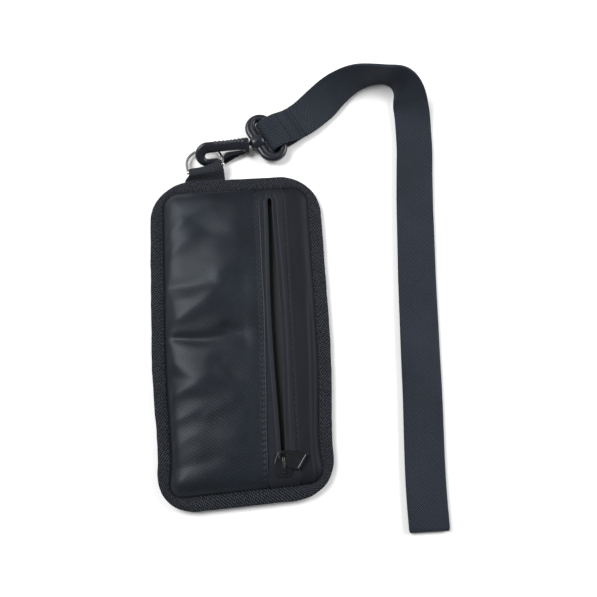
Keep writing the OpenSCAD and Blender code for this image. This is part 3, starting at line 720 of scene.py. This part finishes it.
# The side panel: from its seam beside the zip to the right-hand binding
def makeSidePanel():
    low = halfH - panel["inset"]
    y = np.linspace(-low, low, 220)[:, None]
    seam, right = sideSeam(y), np.maximum(panelReach(y), pouch["sideX"] + 0.6)
    x = seam + (right - seam) * np.linspace(0, 1, 44)[None]
    z = sideHeight(x, y + 0 * x) - 0.6 * turnedDown(x - seam, sideFront["roll"])
    z -= 0.3 * np.exp(-((x - seam - sideFront["stitchIn"]) / 0.6) ** 2)
    # one long crease near the edge deepens towards the bottom
    crease = 0.55 * np.exp(-((x - 38.2 - 0.02 * y) / 0.9) ** 2) * ease((30 - y) / 40)
    z += ease((x - seam - 2) / 4) * (0.16 * softNoise(x, y * 0.5, 22, 31) - crease)
    thick = panel["thick"]
    obj = frontPiece("sidePanel", x, y, z, thick, -thick / 2, "sideCloth", "side_panel")
    y = np.arange(-low + 4, low - 4, sideFront["stitchPitch"])
    x = sideSeam(y) + sideFront["stitchIn"]
    seamStitches("sideStitches", x, y, sideHeight(x, y) - 0.14, 2.2, 0.24, "side_stitching")


makeSidePanel()


# Half of the slit's width: end + (mid - end) cos2 along its length
def slitHalf(y):
    u = (2 * y - zipper["slitLow"] - zipper["slitHigh"]) / (zipper["slitHigh"] - zipper["slitLow"])
    c = np.cos(np.pi / 2 * np.clip(u, -1, 1)) ** 2
    opening = ease((y - zipper["slitLow"] + 1) / 1.5) * ease((zipper["slitHigh"] + 1 - y) / 1.5)
    return opening * (zipper["slitEnd"] / 2 + (zipper["slitMid"] - zipper["slitEnd"]) / 2 * c) + 0.06


# One zip tape: from the slit's edge to its hidden margin, way = -1 left or 1 right
def makeTape(way, name, node):
    low = halfH - panel["inset"] - 0.4
    y = np.linspace(-low, low, 260)[:, None]
    edge = slitHalf(y) + 0.05
    reach = zipper["half"] * (1 - 0.25 * ease((np.abs(y) - low + 9) / 9))
    off = edge + (reach - edge) * np.linspace(0, 1, 22)[None]
    x = zipper["x"] + way * off
    rise = 1 - np.exp(-np.maximum(depthIn(x, y + 0 * x) - panel["inset"], 0) / 1.9)
    z = zipper["endZ"] + (zipper["tapeZ"] - zipper["endZ"]) * rise
    z -= 0.16 * np.exp(-((off - edge - 2.3) / 0.45) ** 2)
    z += 0.1 * np.exp(-((off - edge) / 0.9) ** 2) + 0.03 * softNoise(x, y + 0 * x, 18, 40 + way)
    thick = zipper["tapeThick"]
    frontPiece(name, x, y, z, thick, way * thick / 2, "zipTape", node)


makeTape(-1, "zipTapeLeft", "zip_tape_left")
makeTape(1, "zipTapeRight", "zip_tape_right")


# A row of teeth: one coil wound along the slit's edge, x and z round a circle as y runs on
def makeCoil(way, name, node):
    y0, y1 = zipper["rowLow"], zipper["rowHigh"]
    count = int((y1 - y0) / zipper["rowPitch"] * 12)
    y = y0 + (y1 - y0) * np.linspace(0, 1, count)
    turn = 2 * np.pi * (y - y0) / zipper["rowPitch"]
    x = zipper["x"] + way * (slitHalf(y) + 0.62 - 0.5 * np.cos(turn))
    line = np.stack([x, y + 0.18 * np.sin(turn), zipper["rowZ"] + 0.32 * np.sin(turn)], -1)
    ahead = unit(np.gradient(line, axis=0))
    out = np.stack([-way * np.cos(turn), 0 * turn, np.sin(turn)], -1)
    out = unit(out - ahead * (out * ahead).sum(1, keepdims=True))
    third = np.cross(ahead, out)
    ring = np.linspace(0, 2 * np.pi, 6, endpoint=False)[None, :, None]
    pts = line[:, None] + zipper["threadR"] * (np.cos(ring) * out[:, None] + np.sin(ring) * third[:, None])
    dress(tubePiece(name, skewed(pts)), "zipTeeth", "pouch", [node])


makeCoil(-1, "zipCoilLeft", "zip_row_left")
makeCoil(1, "zipCoilRight", "zip_row_right")
print("zip ready")

tab = {"x": -17.0, "baseW": 11.3, "foldW": 9.35, "thick": 0.95, "bar": (-16.3, 98.6, 5.2), "wire": 1.0,
       "yaw": 10.0, "pitch": 5.0, "down": 11.5}


# The loop of webbing: flat ends in the binding, up and round the ring's bar, and back
def makeTab():
    barDir, depthDir, normal = turnedAxes(-tab["down"], -tab["pitch"], tab["yaw"]).T
    bar = np.array(tab["bar"])
    r = tab["wire"] + 0.15 + tab["thick"] / 2
    base = np.array([tab["x"], halfH, 0.0])
    flat = np.array([tab["baseW"], 0, 0])
    wide = barDir * tab["foldW"]
    between = flat * 0.3 + wide * 0.7
    # each row has the webbing's middle and its half width
    rows = [(base + (0, -4.2, 2.5), flat), (base + (0, -1, 2.6), flat), (base + (0, 1.2, 2.9), flat * 0.99),
            (bar - depthDir * 3.2 + normal * 0.7, between)]
    rows += [(bar + depthDir * r * math.cos(a) + normal * r * math.sin(a), wide)
             for a in np.radians(np.linspace(110, -110, 15))]
    rows += [(bar - depthDir * 3.2 - normal * 0.75, between), (base + (0, 1.2, 1.75), flat * 0.99),
             (base + (0, -1, 1.6), flat), (base + (0, -4.2, 1.5), flat)]
    line, s = evenCurve(np.array([np.concatenate(row) for row in rows]), 0.55)
    side = np.linspace(-1, 1, 29)
    surf = line[:, None, :3] + side[None, :, None] * line[:, None, 3:]
    # the right-hand corner is drawn up towards the hook, and the middle sags
    shape = 0.9 * ease((side - 0.35) / 0.65) - 0.5 * np.exp(-((side + 0.2) / 0.5) ** 2)
    surf[..., 1] += 1.3 * ease((line[:, 1] - halfH - 2) / 5)[:, None] * shape[None]
    uv = np.stack(np.broadcast_arrays(side[None] * 11, s[:, None]), -1)
    obj = clothPiece("tabWebbing", surf, tab["thick"], uv)
    dress(obj, "tabWebbing", "pouch", ["loop_tab"])
    x = tab["x"] + (np.arange(9) - 4) * 2.5
    centres = np.stack([x, 0 * x + halfH - 2.6, 0 * x + pouch["edge"] + 0.36], -1)
    along, up = np.tile((1.0, 0, 0), (9, 1)), np.tile(straightUp, (9, 1))
    stitches = stitchPiece("tabStitches", centres, along, up, 1.9, 0.25)
    dress(stitches, "thread", "pouch", ["tab_stitching"])


makeTab()
print("tab ready")

hook = {"length": 29.5, "nose": 4.4, "mouth": 8.8, "tip": 22.9, "ridges": 7, "ridgeAt": 10.6,
        "ridgePitch": 2.3, "ridgeUp": 0.38, "turn": (-41.0, -8.8, 187.4)}


# Points given as (p, q, n) in the hook's frame, in the pouch's frame: axes times point, plus pivot
def fromHook(pts):
    return pts @ turnedAxes(*hook["turn"]).T + eyePivot


# One moulded bar, from the ball's neck along the shank, round the nose and back to the tip.
# Each section is a soft-cornered oval: |x/a|^k + |z/b|^k = 1 with k = 2.5
def makeHook():
    # neck, hub and shank: place along, half width, half thickness
    knots = np.array([(1, 1.2, 1.2), (4.9, 1.2, 1.2), (5.05, 4.0, 2.6), (5.2, 4.6, 3.1),
                      (5.6, 4.95, 3.35), (7.0, 4.95, 3.35), (7.25, 3.8, 3.1), (8.4, 3.8, 3.0),
                      (9.6, 3.45, 2.6), (11, 3.2, 2.2), (18, 3.0, 2.1), (24, 3.1, 2.1),
                      (hook["length"], 3.2, 2.1)])
    p = np.concatenate([np.arange(1.0, 4.8, 0.4), [4.9, 5.05, 5.2, 5.4],
                        np.arange(5.6, hook["length"], 0.25)])
    a, b = (np.interp(p, knots[:, 0], knots[:, k]) for k in (1, 2))
    q = np.interp(p, [4.9, 5.2, 7.0, 7.25, 9, 11, hook["length"]], [0, 1.15, 1.15, 0, 0, -0.2, -0.15])
    shank = np.stack([p, q, a, b, 0 * p], 1)
    turn = np.linspace(0, np.pi, 60)[1:-1]
    reach = np.interp(turn, [0, np.pi / 2, np.pi], [hook["nose"] + 0.15, 4.45, hook["nose"] - 0.1])
    thick = np.interp(turn, [0, np.pi / 2, np.pi * 0.8, np.pi], [3.2, 2.9, 2.3, 2.2])
    nose = np.stack([hook["length"] + reach * np.sin(turn), hook["nose"] - reach * np.cos(turn), thick,
                     2.0 + 0 * turn, turn], 1)
    back = np.arange(hook["length"], hook["tip"] - 0.01, -0.3)
    near = np.clip((back - hook["tip"]) / 1.2, 0, 1)
    blunt = np.sqrt(np.clip(1 - (1 - near) ** 2, 0.12, 1))
    limb = np.stack([back, hook["mouth"] - 0.1 + 0 * back, 2.2 * blunt, 2.0 * blunt, np.pi + 0 * back], 1)
    line = np.concatenate([shank, nose, limb])
    ovalW, ovalZ, cosine = softOval(32, 2.5)
    out = np.stack([np.sin(line[:, 4]), -np.cos(line[:, 4])], 1)
    along = line[:, :1] - (hook["ridgeAt"] + hook["ridgePitch"] * np.arange(hook["ridges"]))[None]
    ridge = (hook["ridgeUp"] * np.exp(-(along / 0.5) ** 4)).sum(1) * (line[:, 4] == 0)
    crest = np.clip((cosine + 0.1) / 0.6, 0, 1) ** 0.5
    side = line[:, 2:3] * ovalW[None] + ridge[:, None] * crest[None]
    pts = np.stack([line[:, :1] + side * out[:, :1], line[:, 1:2] + side * out[:, 1:],
                    line[:, 3:4] * ovalZ[None]], -1)
    dress(tubePiece("hookBar", fromHook(pts)), "hookPlastic", "hook", ["hook_body"])


makeHook()


# The gate: an outline in the hook's plane with rounded edges, from the barrel to the tip
def makeGate():
    outline = [(7.4, 4.3), (8.6, 4.1), (10, 3.55), (14, 3.5), (17.6, 3.75), (19.6, 4.6), (20.5, 7.0),
               (22.4, 8.4), (21.9, 10.6), (21, 11.2), (19.6, 8.9), (18, 7.2), (14, 6.15), (10.5, 6.2),
               (8.6, 6.1), (7.5, 5.4)]
    loop = evenCurve(np.array(outline + outline[:1]), 0.45)[0][:-1]
    step = unit(np.roll(loop, -1, 0) - np.roll(loop, 1, 0))
    inward = np.stack([-step[:, 1], step[:, 0]], 1)
    # height across the lever, and how far its outline is drawn in there
    rings = [(-2.0, 0.55), (-1.9, 0.28), (-1.65, 0.08), (-1.2, 0.0), (0.1, 0.0), (0.5, 0.08), (0.72, 0.28),
             (0.8, 0.55)]
    pts = np.stack([np.column_stack([loop + inward * inset, np.full(len(loop), n)]) for n, inset in rings])
    dress(tubePiece("gateLever", fromHook(pts)), "hookPlastic", "gate", ["hook_gate"])


makeGate()


# Points in the eye's frame, in the pouch's frame: axes times point, plus pivot
def fromEye(pts):
    return pts @ np.stack([eyeX, eyeY, straightUp]) + eyePivot


# The eye: a flat oval bar carried round a stadium, widest beside the swivel, with a groove on top
def makeEye():
    r, half = eye["loopR"], eye["loopHalf"]
    bend, run = np.linspace(0, np.pi, 40), np.linspace(-half, half, 20)[1:-1]
    low = np.stack([r - r * np.cos(bend), -half - r * np.sin(bend)], 1)
    right = np.stack([2 * r + 0 * run, run], 1)
    high = np.stack([r + r * np.cos(bend), half + r * np.sin(bend)], 1)
    left = np.stack([0 * run, -run], 1)
    line = np.concatenate([low, right, high, left])
    centre = np.stack([r + 0 * line[:, 1], np.clip(line[:, 1], -half, half)], 1)
    out = unit(line - centre)
    near = ease((r + 0.5 - line[:, 0]) / (r + 0.5))[:, None]
    ovalW, ovalZ, _ = softOval(32, 2.4)
    side = 0.15 - 1.0 * near + (2.25 + 0.95 * near) * ovalW[None]
    groove = 0.35 * (ovalZ > 0) * np.exp(-(ovalW[None] / 0.3) ** 2) * near ** 0.3
    z = 2.15 * ovalZ[None] - groove
    pts = np.stack([line[:, :1] + side * out[:, :1], line[:, 1:] + side * out[:, 1:], z], -1)
    loop = tubePiece("eyeLoop", fromEye(pts), wrapV=True)
    dress(loop, "hookPlastic", "eye", ["swivel_eye"])
    # its boss, round about the swivel's axis: place along and radius
    boss = np.array([(-3.72, 0.3), (-3.7, 2.1), (-3.45, 3.0), (-2.7, 3.8), (-1.5, 4.25), (0, 4.4),
                     (1.6, 4.4), (2.9, 4.25), (3.8, 3.8), (4.3, 2.9), (4.5, 1.9), (4.52, 0.3)])
    fine = np.linspace(0, len(boss) - 1, 45)
    x, rad = (np.interp(fine, np.arange(len(boss)), boss[:, k])[:, None] for k in (0, 1))
    turn = np.linspace(0, 2 * np.pi, 40, endpoint=False)[None]
    pts = np.stack([x + 0 * turn, rad * np.cos(turn), rad * np.sin(turn)], -1)
    dress(tubePiece("eyeBoss", fromEye(pts)), "hookPlastic", "eye")


makeEye()
print("hook ready")

slider = {"at": (19.8, -71.5), "plateZ": (6.9, 8.1), "lowZ": (3.4, 4.6), "pullAt": (19.8, -68.0),
          "pullZ": (8.4, 9.6), "pullTurn": -17.0, "eyeR": 1.5}


# A polygon with its corners rounded: a quadratic curve across each, b = (1-t)2 a + 2t(1-t) p + t2 c
def roundedOutline(points, r):
    p = np.asarray(points, float)
    t = np.linspace(0, 1, 8)[:, None]
    out = []
    for k in range(len(p)):
        ends = [p[k - 1], p[(k + 1) % len(p)]]
        a, c = (p[k] + (e - p[k]) * min(r / np.linalg.norm(e - p[k]), 0.45) for e in ends)
        out.append((1 - t) ** 2 * a + 2 * t * (1 - t) * p[k] + t ** 2 * c)
    return np.concatenate(out)


# Points set evenly round a closed outline
def evenLoop(outline, count):
    loop = np.concatenate([outline, outline[:1]])
    run = runAlong(loop)
    s = np.linspace(0, run[-1], count, endpoint=False)
    return np.stack([np.interp(s, run, loop[:, i]) for i in range(2)], 1)


# A flat plate with rounded edges between two heights
def platePiece(name, outline, z0, z1, soft, place):
    loop = evenLoop(outline, 120)
    centre = loop.mean(0)
    rings = [(z0, soft + 0.2), (z0, soft), (z0 + 0.3 * soft, 0.3 * soft), (z0 + soft, 0), (z1 - soft, 0),
             (z1 - 0.3 * soft, 0.3 * soft), (z1, soft), (z1, soft + 0.2)]
    reach = np.linalg.norm(loop - centre, axis=1, keepdims=True)
    pts = np.stack([np.column_stack([centre + (loop - centre) * (1 - inset / reach) + place,
                                     np.full(len(loop), z)]) for z, inset in rings])
    return tubePiece(name, pts)


# The slider: two plates, the wedge between them and the arch that holds the pull
def makeSlider():
    at = np.array(slider["at"])
    plate = roundedOutline([(-5.2, 0.3), (-3.0, 6.0), (-1.4, 6.8), (1.4, 6.8), (3.0, 6.0), (5.2, 0.3),
                            (3.6, -5.6), (2.6, -6.75), (-2.6, -6.75), (-3.6, -5.6)], 1.2)
    top = platePiece("sliderTop", plate, *slider["plateZ"], 0.35, at)
    dress(top, "sliderPaint", "slider", ["slider_body"])
    low = platePiece("sliderUnder", plate, *slider["lowZ"], 0.3, at)
    dress(low, "sliderPaint", "slider")
    wedge = roundedOutline([(-0.9, 3.4), (0.9, 3.4), (0.9, 6.3), (-0.9, 6.3)], 0.5)
    dress(platePiece("sliderWedge", wedge, 4.5, 7.0, 0.1, at), "sliderPaint", "slider")
    # the arch's middle line, along the zip and up
    arch = [(-4.4, 7.9), (-4.42, 9.2), (-4.1, 10.35), (-3.0, 10.85), (-0.5, 10.95), (2.1, 10.85),
            (3.2, 10.35), (3.52, 9.2), (3.5, 7.9)]
    line = evenCurve(np.array(arch), 0.25)[0]
    ahead = unit(np.gradient(line, axis=0))
    across, off, _ = softOval(20, 3)
    pts = np.stack([at[0] + 0.8 * across[None] + 0 * line[:, :1],
                    at[1] + line[:, :1] - ahead[:, 1:] * 0.72 * off[None],
                    line[:, 1:] + ahead[:, :1] * 0.72 * off[None]], -1)
    dress(tubePiece("sliderArch", pts), "sliderPaint", "slider")


# The pull: a flat tag with an eye and a raised rim, its sections set round the eye by angle
def makePull():
    tag = roundedOutline([(-2.9, -1.2), (-1.2, -2.9), (0.3, -3.0), (3.2, -4.5), (9.6, -4.5), (12.0, 4.2),
                          (11.6, 4.5), (3.2, 4.2), (0.3, 3.0), (-1.2, 2.9), (-2.9, 1.2)], 0.9)
    turn = np.linspace(-np.pi, np.pi, 240, endpoint=False)
    fine = evenLoop(tag, 4000)
    reach = np.interp(turn, np.arctan2(fine[:, 1], fine[:, 0]), np.hypot(*fine.T), period=2 * np.pi)[:, None]
    z0, z1 = slider["pullZ"]
    r, e = slider["eyeR"], 0.3
    # each ring lies at a share of the outline's reach plus a distance, and at a height
    ring = [(0, r, z0 + 0.3), (0, r, z1 - 0.2), (0, r + 0.2, z1), (0, r + 0.3, z1), (1, -1.3, z1),
            (1, -1.2, z1), (1, -0.85, z1 + 0.2), (1, -0.8, z1 + 0.2), (1, -e - 0.05, z1 + 0.2),
            (1, -e, z1 + 0.2), (1, -0.08, z1), (1, 0, z1 - e), (1, 0, z0 + e), (1, -0.1, z0 + 0.1),
            (1, -e, z0), (1, -e - 0.1, z0), (0, r + 0.3, z0)]
    rad = np.concatenate([reach * k + d for k, d, _ in ring], 1)
    rad[:, 4:8] = np.maximum(rad[:, 4:8], r + np.array([0.35, 0.4, 0.6, 0.62]))
    z = np.array([v for _, _, v in ring])
    x, y = slider["pullAt"]
    a = turn[:, None] + math.radians(slider["pullTurn"])
    pts = np.stack([x + rad * np.cos(a), y + rad * np.sin(a), z[None] + 0 * rad], -1)
    dress(tubePiece("pullTag", pts, wrapV=True), "sliderPaint", "pull", ["slider_pull"])


makeSlider()
makePull()
print("slider ready")

# the hard parts that keep their CAD shape
carried = {"d_ring": "ringMetal", "zip_top_stops": "zipTeeth", "zip_bottom_stop": "zipTeeth"}
for node, finish in carried.items():
    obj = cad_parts[node]
    obj.data.materials.clear()
    obj.data.materials.append(materials[finish])

studio = {"floorHalf": 3.0, "floorZ": -0.0002, "world": 0.32}
floorMesh = bpy.data.meshes.new("floor")
floorMesh.from_pydata([(x * studio["floorHalf"], y * studio["floorHalf"], studio["floorZ"])
                       for x, y in ((-1, -1), (1, -1), (1, 1), (-1, 1))], [], [(0, 1, 2, 3)])
floor = bpy.data.objects.new("floor", floorMesh)
bpy.context.collection.objects.link(floor)
newMaterial("paleFloor", **{"Base Color": (0.95, 0.95, 0.95, 1), "Roughness": 0.9,
                            "Specular IOR Level": 0.1})
floorMesh.materials.append(materials["paleFloor"])

world = bpy.data.worlds.new("studio")
bpy.context.scene.world = world
world.use_nodes = True
world.node_tree.nodes["Background"].inputs["Color"].default_value = (1, 1, 1, 1)
world.node_tree.nodes["Background"].inputs["Strength"].default_value = studio["world"]


# A soft square lamp at a place in metres, its back turned away from the pouch
def softLamp(name, place, size, power):
    data = bpy.data.lights.new(name, "AREA")
    data.size = size
    data.energy = power
    lamp = bpy.data.objects.new(name, data)
    bpy.context.collection.objects.link(lamp)
    back = unit(np.array(place))
    side = unit(np.cross((0, 1, 0), back))
    axes = np.eye(4)
    axes[:3] = np.stack([side, np.cross(back, side), back, place], 1)
    lamp.matrix_world = Matrix(axes.tolist())


softLamp("keyLamp", (-0.55, 0.34, 0.82), 0.62, 11.5)
softLamp("fillLamp", (0.85, 0.25, 0.5), 0.6, 9.0)

print("finishing")
